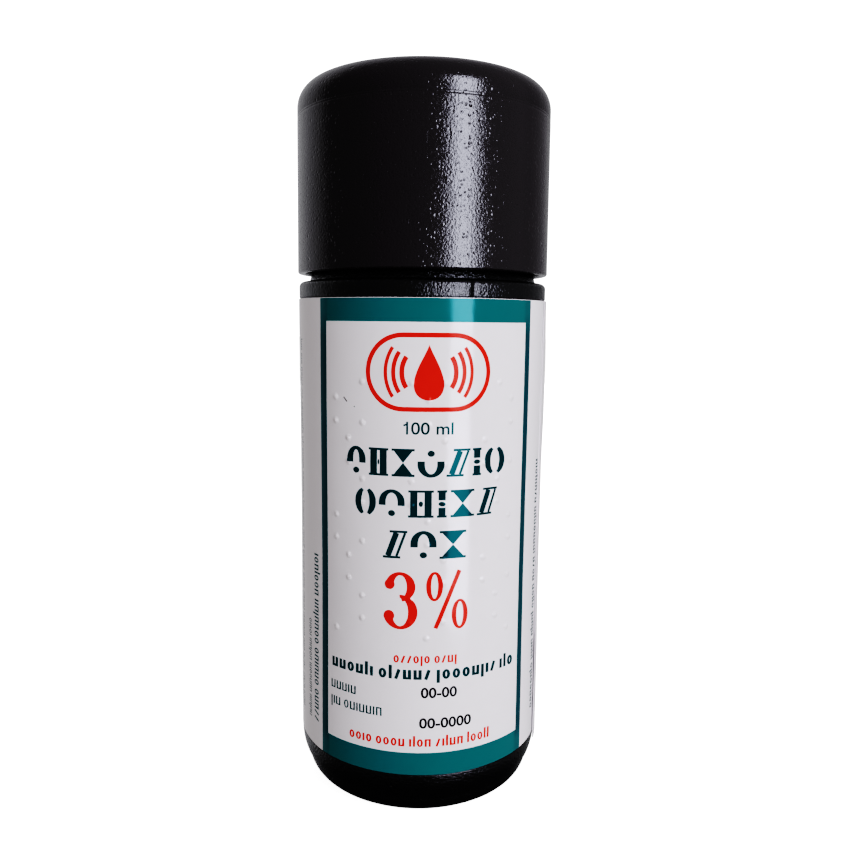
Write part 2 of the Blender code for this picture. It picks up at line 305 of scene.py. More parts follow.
# ---- the plastic pieces


def bottle_outline():
    """Blow-moulded bottle: neck, step ring, shoulder, label panel, rounded base and push-up."""
    panel_top = LABEL_TOP_Z + PANEL_MARGIN
    panel_bottom = LABEL_LOW_Z - PANEL_MARGIN
    foot_r = BODY_R - BASE_CORNER_R
    ring_inner_r = foot_r - FOOT_RING_WIDTH
    inner_r = PANEL_R - WALL
    rows = thread_rows(THREAD_FIRST_Z)
    outer = rounded(
        (NECK_BORE_R, NECK_TOP_Z - 0.7),
        (NECK_BORE_R, NECK_TOP_Z, 0.3),
        (NECK_R, NECK_TOP_Z, 0.4),
        (NECK_R, rows[-1] + 0.1),
    )[1:]
    outer += [(NECK_R, z) for z in reversed(rows)]
    outer += rounded(
        (NECK_R, rows[0] - 0.1),
        (NECK_R, BEAD_Z + 1.0, 0.5),
        (BEAD_R, BEAD_Z + 0.35, 0.15),
        (BEAD_R, BEAD_Z, 0.15),
        (NECK_R, BEAD_Z - 0.1, 0.3),
        (NECK_R, NECK_FOOT_Z, 0.9),
        (STEP_RING_R - 2.2, STEP_RING_Z, 0.8),
        (STEP_RING_R - STEP_RING_LEAN, STEP_RING_Z, 0.8),
        (STEP_RING_R, SHOULDER_Z, 0.25),
        (BODY_R, SHOULDER_Z, SHOULDER_CORNER_R),
        (BODY_R, panel_top, 0.12),
        (PANEL_R, panel_top - 0.1, 0.05),
        (PANEL_R, 70.0),
    )
    outer += [(PANEL_R, z) for z in levels(20.0, 68.0, 4.0)[::-1]]
    outer += rounded(
        (PANEL_R, 18.0),
        (PANEL_R, panel_bottom + 0.1, 0.05),
        (BODY_R, panel_bottom, 0.12),
        (BODY_R, BASE_CORNER_R + 0.05),
    )
    outer += ellipse((foot_r, BASE_CORNER_R), (BASE_CORNER_R, BASE_CORNER_R), 0, -90, 20)
    outer += rounded(
        (foot_r - 0.1, 0.0),
        (ring_inner_r, 0.0, 0.7),
        (ring_inner_r - 1.8, PUSH_UP_Z * 0.62, 1.2),
        (PUSH_UP_TOP_R, PUSH_UP_Z * 0.9),
    )
    for r in (4.2, 3.2, 2.2, 1.2, 0.5):
        outer.append((r, PUSH_UP_Z * (1.0 - 0.1 * (r / PUSH_UP_TOP_R) ** 2)))
    floor_z = PUSH_UP_Z + WALL
    return outer + rounded(
        (0.0, PUSH_UP_Z),
        (0.0, floor_z),
        (ring_inner_r * 0.45, floor_z - 0.2),
        (ring_inner_r - 1.0, WALL + 0.6, 1.0),
        (foot_r, WALL),
        (inner_r, WALL, BASE_CORNER_R - WALL),
        (inner_r, SHOULDER_Z - WALL - 1.2, 1.2),
        (STEP_RING_R - WALL - 0.3, SHOULDER_Z - WALL + 0.4, 0.5),
        (STEP_RING_R - WALL - 0.3, STEP_RING_Z - WALL - 0.4, 0.6),
        (NECK_BORE_R, NECK_FOOT_Z - WALL - 0.5, 0.8),
        (NECK_BORE_R, NECK_TOP_Z - 0.7),
    )


def make_bottle(material):
    rows = thread_rows(THREAD_FIRST_Z)
    seams = (SEAM_DEG, SEAM_DEG + 180.0)

    def shape(radius, height, degrees):
        if abs(radius - NECK_R) < 1e-6 and rows[0] <= height <= rows[-1]:
            return radius + THREAD_DEPTH * thread_height(degrees, height, THREAD_FIRST_Z), height
        if height < PUSH_UP_Z + 0.1 and radius < BASE_SEAM_R:
            across = radius * math.sin(math.radians(angle_between(degrees, SEAM_DEG)))
            return radius, height - hump(across, *BASE_SEAM) * smooth(BASE_SEAM_R - radius, 0.0, 2.0)
        if abs(radius - PANEL_R) < 0.01 and WAIST_Z[0] < height < WAIST_Z[1]:
            return radius - PANEL_DEPTH * waist(height), height
        if radius > BODY_R - 1.5 and height > LABEL_TOP_Z:
            off = radius * math.radians(min(abs(angle_between(degrees, seam)) for seam in seams))
            return radius - (hump(off, *SEAM_GROOVE) - hump(off, *SEAM_RIDGE)), height
        return radius, height

    piece = turned("bottle_shell", bottle_outline(), ring_angles(FINE_STEPS, seams), shape)
    finish_piece(piece, material, "bottle", "bottle_plastic", "bottle_body")


def waist(height):
    """How far the label panel draws in, 0 to 1, between the label's edges."""
    share = (height - LABEL_LOW_Z) / (LABEL_TOP_Z - LABEL_LOW_Z)
    return math.sin(math.pi * min(1.0, max(0.0, share))) ** 2


def make_drip_plug(material):
    low = WASHER_Z[0] - 0.3 - PLUG_FLANGE
    top = low + PLUG_FLANGE
    end_z = low - 9.0
    barbs = []
    for z in (low - 3.0, low - 5.8):
        barbs += [(PLUG_R, z + 0.4, 0.2), (PLUG_BARB_R, z, 0.15), (PLUG_R, z - 0.4, 0.2)]
    corners = [
        (1.1, NOZZLE_TIP_Z, 0.12),
        (1.9, NOZZLE_TIP_Z, 0.35),
        (4.2, top + 0.4, 0.5),
        (4.6, top, 0.3),
        (FLANGE_R, top, 0.2),
        (FLANGE_R, low, 0.15),
        (PLUG_R, low, 0.2),
        *barbs,
        (PLUG_R, end_z + 1.0, 0.4),
        (PLUG_R - 0.5, end_z, 0.15),
        (PLUG_R - 1.0, end_z, 0.15),
        (PLUG_R - 1.0, low - 0.4, 0.4),
        (3.2, low, 0.6),
        (1.1, NOZZLE_TIP_Z - 2.2, 0.3),
    ]
    piece = turned("drip_plug", rounded(*corners), ring_angles(PLAIN_STEPS))
    finish_piece(piece, material, "bottle", "insert_plastic", "dropper_insert")


def make_washer(material):
    low, high = WASHER_Z
    corners = [
        (5.2, high, 0.12),
        (8.4, high, 0.1),
        (8.7, high - 0.05, 0.1),
        (9.0, high, 0.1),
        (WASHER_R, high, 0.15),
        (WASHER_R, low, 0.15),
        (10.9, low, 0.1),
        (10.6, low + 0.07, 0.1),
        (8.6, low + 0.07, 0.1),
        (8.3, low, 0.1),
        (5.2, low, 0.12),
    ]
    piece = turned("foam_washer", rounded(*corners), ring_angles(PLAIN_STEPS))
    finish_piece(piece, material, "cap_lift_stage", "seal_foam", "seal_washer")


def make_tamper_band(material):
    top = RING_LOW_Z + 2.0
    stub_r = 12.9
    corners = [
        (11.4, top, 0.12),
        (12.0, top),
        (stub_r, top, 0.1),
        (RING_R, top, 0.15),
        (RING_R, RING_LOW_Z, 0.2),
        (12.0, RING_LOW_Z, 0.2),
        (12.0, top - 1.1, 0.2),
        (11.4, top - 0.7, 0.12),
    ]
    stubs = [45.0 * i for i in range(8)]

    def shape(radius, height, degrees):
        if radius < stub_r - 0.05 or height < top - 0.16:
            return radius, height
        off = min(abs(angle_between(degrees, stub)) for stub in stubs)
        rise = smooth(2.6 - off, 0.0, 1.2) * smooth(radius, stub_r - 0.05, stub_r + 0.05)
        return radius, height + 0.25 * rise

    piece = turned("tamper_band", rounded(*corners), ring_angles(FINE_STEPS * 2), shape)
    finish_piece(piece, material, "tamper_ring", "core_plastic", "tamper_ring")


def make_closure_core(material):
    """The threaded closure. Its thread lies half a pitch under the neck's, flank against flank."""
    first_z = THREAD_FIRST_Z - PITCH / 2.0
    rows = thread_rows(first_z)
    seat_z = WASHER_Z[1] + 0.3
    plate_z = seat_z + 1.4
    outer = rounded(
        (0.0, CORE_TOP_Z),
        (4.8, CORE_TOP_Z, 0.6),
        (8.2, plate_z, 0.5),
        (12.4, plate_z, 0.4),
        (12.4, 117.4, 0.15),
        (CORE_R, 117.4, 0.35),
        (CORE_R, SNAP_RIB_Z + 1.2, 0.2),
        (CORE_R + 0.4, SNAP_RIB_Z + 0.6, 0.2),
        (CORE_R, SNAP_RIB_Z, 0.2),
        (CORE_R, CORE_LEDGE_Z, 0.3),
        (CORE_LEDGE_R, CORE_LEDGE_Z, 0.15),
        (CORE_LEDGE_R, CORE_LEDGE_Z - 0.7, 0.15),
        (CORE_R, CORE_LEDGE_Z - 1.6, 0.3),
        (CORE_R, CORE_LOW_Z, 0.25),
        (CORE_INNER_R, CORE_LOW_Z, 0.3),
        (CORE_INNER_R, rows[0] - 0.1),
    )
    inner = [(CORE_INNER_R, z) for z in rows]
    inner += rounded(
        (CORE_INNER_R, rows[-1] + 0.1),
        (CORE_INNER_R, seat_z, 0.3),
        (6.8, seat_z, 0.2),
        (3.4, PIN_Z, 0.4),
        (1.0, PIN_Z, 0.2),
        (0.7, PIN_Z - 0.4, 0.2),
        (0.7, PIN_Z - 1.6, 0.25),
        (0.0, PIN_Z - 1.8),
    )

    def shape(radius, height, degrees):
        if abs(radius - CORE_INNER_R) < 1e-6 and rows[0] <= height <= rows[-1]:
            stands = thread_height(degrees, height, first_z)
            return radius - (CORE_INNER_R - CORE_CREST_R) * stands, height
        return radius, height

    piece = turned("closure_core", outer + inner, ring_angles(FINE_STEPS), shape)
    finish_piece(piece, material, "cap", "core_plastic", "cap_core")


def make_cap_cover(material):
    """The outer cap: a slightly drafted cup with an elliptical edge, and the socket inside it."""
    top_r = CAP_R - CAP_DRAFT
    edge_z = CAP_TOP_Z - CAP_EDGE[1]
    inner_r = top_r - CAP_WALL
    ceiling_z = CAP_TOP_Z - 1.5
    outer = rounded(
        (0.0, CAP_TOP_Z - 0.12),
        (0.45, CAP_TOP_Z - 0.12, 0.06),
        (0.55, CAP_TOP_Z - 0.3, 0.06),
        (1.7, CAP_TOP_Z - 0.3, 0.2),
        (2.3, CAP_TOP_Z, 0.3),
        (top_r - CAP_EDGE[0] - 0.3, CAP_TOP_Z),
    )
    outer += ellipse((top_r - CAP_EDGE[0], edge_z), CAP_EDGE, 90, 0, 28)
    for line_z in MOULD_LINES_Z:
        r = top_r + CAP_DRAFT * (edge_z - line_z) / (edge_z - CAP_LOW_Z)
        dip = r - MOULD_LINE_DEPTH
        outer += [(r, line_z + 0.1), (dip, line_z + 0.02), (dip, line_z - 0.02), (r, line_z - 0.1)]
    outer += rounded(
        (top_r + 0.02, MOULD_LINES_Z[-1] - 0.3),
        (CAP_R, CAP_LOW_Z, 0.35),
        (inner_r + 0.15, CAP_LOW_Z, 0.25),
        (inner_r, CAP_LOW_Z + 0.6),
    )
    inner = rounded(
        (inner_r, CAP_LOW_Z + 0.8),
        (inner_r, ceiling_z, 2.6),
        (SOCKET_OUTER_R, ceiling_z, 0.4),
        (SOCKET_OUTER_R, CORE_LEDGE_Z + 0.3, 0.3),
        (SOCKET_R, CORE_LEDGE_Z + 0.3, 0.3),
        (SOCKET_R, SNAP_RIB_Z - 0.4, 0.15),
        (SOCKET_R + 0.5, SNAP_RIB_Z + 0.1, 0.15),
        (SOCKET_R + 0.5, SNAP_RIB_Z + 0.9, 0.15),
        (SOCKET_R, SNAP_RIB_Z + 1.6, 0.15),
        (SOCKET_R, ceiling_z, 0.3),
        (0.0, ceiling_z),
    )
    piece = turned("cap_cover", outer + inner, ring_angles(FINE_STEPS))
    finish_piece(piece, material, "cap", "cap_plastic", "cap_shell")


# ---- label print, drawn flat

# Places on the flat sheet: x is the distance round the bottle from the front, z the height.

FRAME_OUTER_DEG = (-49.2, 54.6)
FRAME_INNER_DEG = (-45.0, 50.8)
FRAME_INNER_Z = (13.21, 82.63)
TOP_MARGIN = 0.08


def arc_x(degrees):
    return SHEET_R * math.radians(degrees)


def box_shape(x0, z0, x1, z1):
    return [(x0, z0), (x1, z0), (x1, z1), (x0, z1)]


def stroke(x0, z0, x1, z1, width):
    """A straight stroke with square ends."""
    side = Vector((z0 - z1, x1 - x0)).normalized() * width / 2.0
    a = Vector((x0, z0))
    b = Vector((x1, z1))
    return [tuple(a - side), tuple(b - side), tuple(b + side), tuple(a + side)]


def bow(centre, radii, start_deg, end_deg, side_width, cap_width, steps=20):
    """Part of an oval ring, side_width thick at its sides and cap_width at its top and bottom."""
    outer = ellipse(centre, radii, start_deg, end_deg, steps)
    inner = ellipse(centre, (radii[0] - side_width, radii[1] - cap_width), start_deg, end_deg, steps)
    return [[outer[i], outer[i + 1], inner[i + 1], inner[i]] for i in range(steps)]


def disc(centre, radii, steps=20):
    return [ellipse(centre, radii, 0.0, 360.0, steps)[:-1]]


def pair(left, right, stem, low, high):
    """Two upright bars at the ends of a span."""
    return [box_shape(left, low, left + stem, high), box_shape(right - stem, low, right, high)]


def glyph(kind, width, stem, hair):
    """An abstract sign, 1 high, that stands where a letter would. It is no letter of any alphabet."""
    mid = width / 2.0
    top = 1.0 - hair
    dot = (stem * 0.5, 0.11)
    bars = [box_shape(0.0, top, width, 1.0), box_shape(0.0, 0.0, width, hair)]
    if kind == "split_ring":
        sides = bow((mid, 0.5), (mid, 0.52), 112, 248, stem, hair)
        return sides + bow((mid, 0.5), (mid, 0.52), -68, 68, stem, hair)
    if kind == "pillar":
        upper = box_shape(mid - stem / 2.0, 0.64, mid + stem / 2.0, top)
        lower = box_shape(mid - stem / 2.0, hair, mid + stem / 2.0, 0.36)
        return bars + [upper, lower] + disc((mid, 0.5), (dot[0], 0.08))
    if kind == "hourglass":
        upper = [(0.1 * width, top), (mid, 0.5), (0.9 * width, top)]
        lower = [(0.1 * width, hair), (0.9 * width, hair), (mid, 0.5)]
        return bars + [upper, lower]
    if kind == "dish":
        bowl = bow((mid, 0.44), (mid, 0.46), 180, 360, stem, hair * 1.5)
        return pair(0.0, width, stem, 0.44, 0.56) + bowl + disc((mid, 0.84), dot)
    if kind == "arch":
        roof = bow((mid, 0.54), (mid, 0.47), 0, 180, stem, hair * 1.5)
        return pair(0.0, width, stem, 0.42, 0.54) + roof + disc((mid, 0.14), dot)
    if kind == "posts":
        gap = 0.84 * width - 2.0 * stem
        posts = pair(0.08 * width, 0.92 * width, stem, hair, top)
        return bars + posts + disc((mid, 0.5), (gap * 0.3, 0.1))
    thick = stroke(stem * 0.7, hair, width - stem * 1.5, top, stem * 0.8)
    thin = stroke(stem * 1.9, hair, width - stem * 0.3, top, hair * 1.1)
    foot = box_shape(0.0, 0.0, width * 0.72, hair)
    return [thick, thin, foot, box_shape(width * 0.28, top, width, 1.0)]


def placed(shapes, x, z, scale):
    return [[(x + px * scale, z + pz * scale) for px, pz in shape] for shape in shapes]


def headline(z, height, signs):
    """A row of large signs, each a kind and the angles that it spans."""
    shapes = []
    for kind, start, end in signs:
        sign = glyph(kind, arc_x(end - start) / height, 0.26, 0.08)
        shapes += placed(sign, arc_x(start), z, height)
    return shapes


# The greeked text draws from these, some more often than others. An upright has its foot and its top.
SMALL_SIGNS = "ring gate stem ring tray tall gate slash ring deep tray stem".split()
UPRIGHTS = {"stem": (0.0, 1.0), "tall": (0.0, 1.42), "deep": (-0.38, 1.0)}


def small_sign(kind, stem, hair):
    """One sign of the greeked text, 1 high, and its width."""
    if kind in UPRIGHTS:
        low, high = UPRIGHTS[kind]
        return [box_shape(0.0, low, stem, high)], stem
    if kind == "slash":
        return [stroke(stem * 0.5, 0.0, 0.5, 1.0, stem)], 0.5 + stem * 0.5
    width = 0.5 + stem
    if kind == "ring":
        return bow((width / 2.0, 0.5), (width / 2.0, 0.52), 0, 360, stem, hair, 12), width
    low, high = (1.0 - hair, 1.0) if kind == "gate" else (0.0, hair)
    return pair(0.0, width, stem, 0.0, 1.0) + [box_shape(stem, low, width - stem, high)], width


def small_text(x, z, length, height, weight, seed):
    """A line of greeked text in words of signs that spell nothing."""
    draw = random.Random(seed)
    shapes = []
    place = 0.0
    while place < length - height:
        for _ in range(draw.randint(3, 9)):
            sign, width = small_sign(draw.choice(SMALL_SIGNS), weight, weight * 0.75)
            if place + width * height > length:
                break
            shapes += placed(sign, x + place, z, height)
            place += (width + 0.17 + 0.2 * weight) * height
        place += height * 0.38
    return shapes


def turned_text(x, z, length, height, weight, seed):
    """Greeked text that runs up the bottle."""
    flat = small_text(0.0, 0.0, length, height, weight, seed)
    return [[(x - pz, z + px) for px, pz in shape] for shape in flat]


def numerals(text, x0, x1, z0, z1, extra_weight):
    """Plain numerals from Blender's own font, fitted between x0 and x1 and from z0 to z1."""
    curve = bpy.data.curves.new("numerals", "FONT")
    curve.body = text
    curve.resolution_u = 5
    curve.offset = extra_weight
    holder = add_object("numerals", curve)
    bpy.context.view_layer.update()
    mesh = holder.to_mesh()
    points = [(v.co.x, v.co.y) for v in mesh.vertices]
    faces = [list(p.vertices) for p in mesh.polygons]
    holder.to_mesh_clear()
    bpy.data.objects.remove(holder)
    bpy.data.curves.remove(curve)
    xs, zs = zip(*points)
    left, low = min(xs), min(zs)
    wide = (x1 - x0) / (max(xs) - left)
    tall = (z1 - z0) / (max(zs) - low)
    fitted = [(x0 + (px - left) * wide, z0 + (pz - low) * tall) for px, pz in points]
    return [[fitted[i] for i in face] for face in faces]


def frame_shapes():
    """The teal field with the white panel left open in it, as four bands."""
    left, right = (arc_x(a) for a in FRAME_OUTER_DEG)
    inner_left, inner_right = (arc_x(a) for a in FRAME_INNER_DEG)
    low, high = FRAME_INNER_Z
    return [
        box_shape(left, LABEL_LOW_Z, right, low),
        box_shape(left, high, right, LABEL_TOP_Z - TOP_MARGIN),
        box_shape(left, low, inner_left, high),
        box_shape(inner_right, low, right, high),
    ]


def emblem_shapes():
    """A liquid drop between ripples in a rounded pill outline."""
    left, right = arc_x(-23.6), arc_x(29.8)
    low, high = 68.9, 81.0
    x, z = (left + right) / 2.0, (low + high) / 2.0
    half_h = (high - low) / 2.0
    flat = (right - left) / 2.0 - half_h
    line = 0.72
    shapes = []
    for side, start in ((-flat, 90), (flat, -90)):
        shapes += bow((x + side, z), (half_h, half_h), start, start + 180, line, line, 28)
    shapes.append(box_shape(x - flat, high - line, x + flat, high))
    shapes.append(box_shape(x - flat, low, x + flat, low + line))
    drop = []
    steps = 40
    for i in range(steps):
        turn = 2.0 * math.pi * i / steps
        narrow = math.sin(turn / 2.0) ** 1.6
        drop.append((x + 3.4 * math.sin(turn) * narrow, z + 4.3 * math.cos(turn)))
    shapes.append(drop)
    for start in (-34, 146):
        for reach, width in ((4.6, 0.75), (5.9, 0.65), (7.1, 0.55)):
            shapes += bow((x, z), (reach, reach), start, start + 68, width, width, 14)
    return shapes


def strength_shapes():
    """The large red figure: a plain 3 and a per cent sign."""
    left, right = arc_x(-14.9), arc_x(-0.5)
    low, high = 34.0, 43.4
    mid_x = (left + right) / 2.0 - 0.2
    half = (right - left) / 2.0
    shapes = bow((mid_x, 41.0), (half * 0.9, 2.4), 160, -82, 1.35, 0.5, 26)
    shapes += bow((mid_x, 36.85), (half * 1.04, 2.85), 92, -165, 1.5, 0.52, 30)
    shapes += disc((left + 0.8, 41.35), (0.82, 0.82))
    shapes += disc((left + 0.72, 36.2), (0.88, 0.88))
    left, right = arc_x(3.1), arc_x(21.0)
    shapes += bow((left + 1.25, 41.1), (1.35, 2.4), 0, 360, 0.78, 0.4, 32)
    shapes += bow((right - 1.3, 36.4), (1.37, 2.45), 0, 360, 0.78, 0.4, 32)
    shapes.append(stroke(left + 1.45, low + 0.2, right - 1.45, high + 0.2, 0.68))
    return shapes


# Foot and height of each headline, and its signs with the angles that they span
HEADLINES = {
    (58.72, 4.38): (
        ("arch", -32.9, -23.8), ("posts", -22.3, -13.6), ("hourglass", -12.2, -2.5),
        ("dish", -1.3, 9.9), ("slants", 10.8, 21.2), ("pillar", 22.3, 26.4),
        ("split_ring", 28.0, 38.7),
    ),
    (52.25, 4.35): (
        ("split_ring", -28.8, -19.0), ("arch", -17.7, -6.5), ("posts", -5.1, 5.6),
        ("pillar", 7.0, 11.2), ("hourglass", 12.8, 23.4), ("slants", 24.7, 34.8),
    ),
    (45.6, 4.5): (
        ("slants", -15.8, -5.3), ("arch", -4.0, 7.0), ("hourglass", 8.3, 19.9),
    ),
}

# Greeked lines round the bottle: ink, first angle, angle spanned, foot, sign height, stroke and seed
ROUND_LINES = (
    (RED, -10.9, 27.6, 28.45, 1.2, 0.26, 11),
    (DARK, -42.0, 91.0, 25.7, 1.6, 0.33, 12),
    (DARK, -42.6, 17.0, 21.9, 1.4, 0.19, 13),
    (DARK, -42.6, 29.5, 19.1, 1.4, 0.19, 14),
    (RED, -31.8, 69.6, 14.3, 1.3, 0.26, 15),
)

# Greeked lines up the bottle: angle, lowest point, length, sign height, stroke and seed
UPRIGHT_LINES = (
    (-52.6, 14.0, 31.0, 1.35, 0.22, 16),
    (-59.6, 14.0, 18.0, 0.95, 0.18, 17),
    (-70.6, 14.0, 66.0, 0.95, 0.18, 18),
    (69.6, 14.5, 46.0, 1.2, 0.24, 19),
)
BACK_LINE_COUNT = 22
BACK_FIRST_DEG = -78.0
BACK_STEP_DEG = 7.4
BACK_LENGTHS = (62.0, 62.0, 53.0)
BACK_FIRST_SEED = 20

# Rows of zeros in place of batch and date: text, first and last angle, foot and top
BATCH_LINES = (("00-00", 1.0, 16.8, 22.55, 24.35), ("00-0000", 0.4, 23.6, 17.4, 19.2))
BATCH_WEIGHT = 0.022


def volume_shapes():
    """The words 100 ml, with a flagged 1 of its own."""
    one = arc_x(-5.75)
    low, high = 65.35, 67.3
    stem = box_shape(one - 0.15, low, one + 0.15, high + 0.05)
    flag = stroke(arc_x(-7.3), high - 0.55, one, high - 0.35, 0.26)
    return [stem, flag] + numerals("00 ml", arc_x(-4.1), arc_x(13.5), low, high, 0.009)


def print_shapes():
    """Groups of shapes with their ink. Where two overlap, the ink with the higher number shows."""
    printed = [(TEAL, frame_shapes()), (RED, emblem_shapes()), (RED, strength_shapes())]
    for (low, height), signs in HEADLINES.items():
        printed.append((DARK, headline(low, height, signs)))
    printed.append((DARK, volume_shapes()))
    for ink, first, span, low, height, weight, seed in ROUND_LINES:
        printed.append((ink, small_text(arc_x(first), low, arc_x(span), height, weight, seed)))
    for text, first, last, low, high in BATCH_LINES:
        printed.append((BLACK, numerals(text, arc_x(first), arc_x(last), low, high, BATCH_WEIGHT)))
    for angle, low, length, height, weight, seed in UPRIGHT_LINES:
        printed.append((DARK, turned_text(arc_x(angle), low, length, height, weight, seed)))
    fleck = stroke(arc_x(-34.7), 70.75, arc_x(-33.0), 70.05, 0.17)
    speck = disc((arc_x(-29.2), 69.35), (0.1, 0.1), 8)
    printed += [(BLACK, [fleck]), (DARK, speck)]
    for i in range(BACK_LINE_COUNT):
        x = arc_x(BACK_FIRST_DEG - BACK_STEP_DEG * i)
        length = BACK_LENGTHS[i % 3]
        printed.append((DARK, turned_text(x, 14.0, length, 0.95, 0.18, BACK_FIRST_SEED + i)))
    return printed


# Tactile dots: three upright columns of cells, each cell three dots wide and two high

CELL_CENTRES_DEG = (-32.3, 3.0, 35.0)
CELL_PITCH = 6.35
CELL_TOP_Z = 72.0
CELL_COUNT = 7
DOT_PITCH = 2.6
DOT_R = 0.7
DOT_HEIGHT = 0.175
# Rings of points that a dot's dome is cut into: share of its radius, count, angle of the first
DOT_RINGS = ((0.35, 8, 0.0), (0.7, 12, 15.0), (1.0, 16, 0.0))
DOT_PATTERNS = (((-1, 0), (1, 1)), ((-1, 1), (0, 0), (1, 1)), ((0, 1), (1, 0)))


def dot_places():
    """Centres of the tactile dots on the flat sheet. The pattern repeats and spells nothing."""
    places = []
    for group, centre in enumerate(CELL_CENTRES_DEG):
        for cell in range(CELL_COUNT):
            for column, row in DOT_PATTERNS[(group + cell) % len(DOT_PATTERNS)]:
                x = arc_x(centre) + column * DOT_PITCH
                z = CELL_TOP_Z - cell * CELL_PITCH + (row - 0.5) * DOT_PITCH
                places.append((x, z))
    return places


# ---- the label sheet


def divided(shape):
    """A polygon's points with its edges divided into short steps, so that they can bend."""
    points = []
    for (x0, z0), (x1, z1) in zip(shape, shape[1:] + shape[:1]):
        count = max(1, math.ceil(math.dist((x0, z0), (x1, z1)) / EDGE_STEP))
        points += [(x0 + (x1 - x0) * (k / count), z0 + (z1 - z0) * (k / count)) for k in range(count)]
    return points


def cut_sheet(dots):
    """Cuts the flat sheet into triangles along every printed edge.

    Returns its points, its triangles and the ink on each triangle.
    """
    left, right = arc_x(OUTER_END_DEG), arc_x(INNER_END_DEG)
    points, polygons, inks = [], [], []

    def add(shape, ink):
        ring = divided(shape)
        area = sum(a[0] * b[1] - b[0] * a[1] for a, b in zip(ring, ring[1:] + ring[:1]))
        if area < 0.0:
            ring.reverse()
        first = len(points)
        points.extend(ring)
        polygons.append(list(range(first, first + len(ring))))
        inks.append(ink)

    add(box_shape(left, LABEL_LOW_Z, right, LABEL_TOP_Z), PAPER)
    for ink, shapes in print_shapes():
        for shape in shapes:
            add(shape, ink)
    rows = levels(LABEL_LOW_Z, LABEL_TOP_Z, GRID_Z)[1:-1]
    points += [(x, z) for x in levels(left, right, GRID_X)[1:-1] for z in rows]
    for x, z in dots:
        points.append((x, z))
        for share, count, first in DOT_RINGS:
            radii = (share * DOT_R, share * DOT_R)
            points += ellipse((x, z), radii, first, first + 360.0, count)[:-1]
    cut = delaunay_2d_cdt([Vector(p) for p in points], [], polygons, 1, 1e-4, True)
    flat, triangles, sources = cut[0], cut[2], cut[5]
    colours = [max((inks[s] for s in source), default=PAPER) for source in sources]
    return [tuple(p) for p in flat], [tuple(t) for t in triangles], colours


def make_surface(dots):
    """The function that gives the radius and height of the sheet's outer face at a flat place."""
    cell = 4.0
    near = {}
    for x, z in dots:
        for i in (-1, 0, 1):
            for k in (-1, 0, 1):
                near.setdefault((round(x / cell) + i, round(z / cell) + k), []).append((x, z))

    def dot_height(x, z):
        found = near.get((round(x / cell), round(z / cell)), ())
        return max((hump(math.hypot(x - a, z - b), DOT_HEIGHT, DOT_R) for a, b in found), default=0.0)

    def waves(x, z):
        """Slow waves of a hand-smoothed laminate, in millimetres."""
        a = math.sin(0.31 * x + 0.9) * math.sin(0.12 * z + 0.4)
        b = math.sin(0.83 * x + 0.21 * z) * math.sin(0.27 * z + 1.3)
        return 0.022 * a + 0.008 * b

    def place(x, z):
        degrees = math.degrees(x / SHEET_R)
        height = (z - LABEL_LOW_Z) / (LABEL_TOP_Z - LABEL_LOW_Z)
        radius = SHEET_R - 0.03 - PANEL_DEPTH * waist(z) + waves(x, z) + dot_height(x, z)
        over = smooth(-degrees, *OVERLAP_DEG)
        tail = smooth(-degrees, TAIL_DEG, -OUTER_END_DEG)
        bulge = math.sin(math.pi * tail) * smooth(z, *BULGE_RISE_Z)
        bulge *= 1.0 - smooth(z, *BULGE_FALL_Z)
        lift = smooth(-degrees, TAIL_DEG + 6.0, -OUTER_END_DEG) ** 1.5 * (1.0 - smooth(z, *LIFT_Z))
        radius += over * 0.17 + bulge * 0.2 + lift * 0.16
        return radius, degrees, z - END_DROP * tail * (1.0 - height) ** 4

    return place


def sheet_layer(name, flat, triangles, place, top, bottom, material):
    """A closed layer over some of the sheet's triangles, from bottom to top above its outer face."""
    used = sorted({i for triangle in triangles for i in triangle})
    index = {old: new for new, old in enumerate(used)}
    count = len(used)
    outer, inner, normals = [], [], []
    step = 0.05
    for i in used:
        x, z = flat[i]
        radius, degrees, height = place(x, z)
        outer.append(at(radius + top, degrees, height))
        inner.append(at(radius + bottom, degrees, height))
        slope_x = (place(x + step, z)[0] - place(x - step, z)[0]) / (2.0 * step)
        slope_z = (place(x, z + step)[0] - place(x, z - step)[0]) / (2.0 * step)
        out = Vector(at(1.0, degrees, 0.0)).normalized()
        along = Vector((-out.y, out.x, 0.0))
        normals.append((out - along * slope_x - Vector((0.0, 0.0, 1.0)) * slope_z).normalized())
    faces = [tuple(index[i] for i in triangle) for triangle in triangles]
    edges = {edge: True for a, b, c in faces for edge in ((a, b), (b, c), (c, a))}
    under = [(c + count, b + count, a + count) for a, b, c in faces]
    walls = [(b, a, a + count, b + count) for a, b in edges if (b, a) not in edges]
    mesh = bpy.data.meshes.new(name)
    mesh.from_pydata(outer + inner, [], faces + under + walls)
    mesh.shade_smooth()
    loops = [normals[i] for face in faces for i in face]
    loops += [-normals[i - count] for face in under for i in face]
    loops += [wall.normal.copy() for wall in mesh.polygons[2 * len(faces) :] for _ in wall.vertices]
    mesh.normals_split_custom_set(loops)
    piece = add_object(name, mesh)
    piece.data.materials.append(material)
    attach(piece, "bottle")
    return piece


def make_label(materials):
    dots = dot_places()
    flat, triangles, colours = cut_sheet(dots)
    place = make_surface(dots)
    sheet = sheet_layer("label_sheet", flat, triangles, place, 0.0, -SHEET_THICKNESS, materials[PAPER])
    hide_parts("wrap_label")
    names = {TEAL: "print_frame", DARK: "print_text", RED: "print_red", BLACK: "print_numerals"}
    for ink, name in names.items():
        inked = [t for t, colour in zip(triangles, colours) if colour == ink]
        sheet_layer(name, flat, inked, place, INK_THICKNESS, -0.01, materials[ink])


# ---- materials


